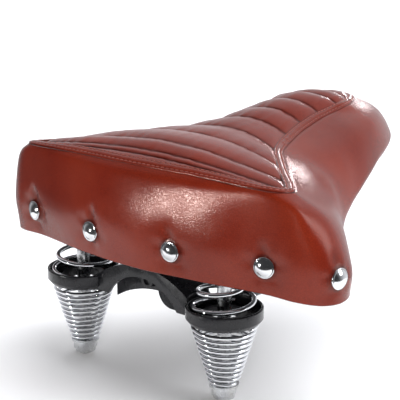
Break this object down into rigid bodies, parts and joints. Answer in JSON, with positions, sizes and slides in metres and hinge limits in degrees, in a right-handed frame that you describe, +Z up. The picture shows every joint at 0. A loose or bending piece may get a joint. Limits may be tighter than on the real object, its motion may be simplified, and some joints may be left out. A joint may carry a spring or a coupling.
{
  "type": "bicycle saddle",
  "caption": "Wide sprung bicycle saddle: riveted leather cover with a quilted top on a pan that pivots at the nose of a black rail frame and rides on conical coil springs.",
  "frame": {"origin": "midway between the two rails' centre lines, halfway along their straight clamp stretch", "axes": "+X to the rider's right, +Y along the rails to the nose, +Z up"},
  "size_m": [0.2504, 0.2461, 0.1496],
  "materials": {
    "black_steel": "gloss black stove enamel on steel",
    "spring_chrome": "bright chrome plated spring wire",
    "rivet_chrome": "polished chrome",
    "zinc_steel": "bright zinc plated steel",
    "leather": "semi-gloss reddish brown leather",
    "foam": "open cell polyurethane foam",
    "pan_plastic": "moulded nylon, matt",
    "nylon": "black nylon"
  },
  "bodies": {
    "frame": {"rail_wire": "black_steel", "rail_anchor": "black_steel", "anchor_screws": "zinc_steel", "spring_bridge": "black_steel", "cup_left": "black_steel", "cup_right": "black_steel", "cup_bush_left": "nylon", "cup_bush_right": "nylon", "upper_spring_left": "spring_chrome", "upper_spring_right": "spring_chrome", "lower_spring_left": "spring_chrome", "lower_spring_right": "spring_chrome"},
    "seat": {"base_pan": "pan_plastic", "foam_pad": "foam", "leather_skirt": "leather", "top_panel": "leather", "seam_welt": "leather", "rear_rivets": "rivet_chrome", "rivet_washers": "zinc_steel", "spring_bolt_left": "zinc_steel", "spring_bolt_right": "zinc_steel", "head_washer_left": "zinc_steel", "head_washer_right": "zinc_steel", "upper_washer_left": "zinc_steel", "upper_washer_right": "zinc_steel", "lower_washer_left": "zinc_steel", "lower_washer_right": "zinc_steel", "lower_nut_left": "zinc_steel", "lower_nut_right": "zinc_steel", "nose_clip": "black_steel", "clip_screws": "zinc_steel", "clip_backing_plate": "zinc_steel"}
  },
  "joints": [
    {"name": "nose_pivot", "type": "hinge", "parent": "frame", "child": "seat", "pos_m": [0, 0.10849, 0.06813], "axis": [1, 0, 0], "range_deg": [-1, 4], "stiffness_Nm_per_rad": 1500, "deforming": ["upper_spring_left", "upper_spring_right", "lower_spring_left", "lower_spring_right"]}
  ]
}
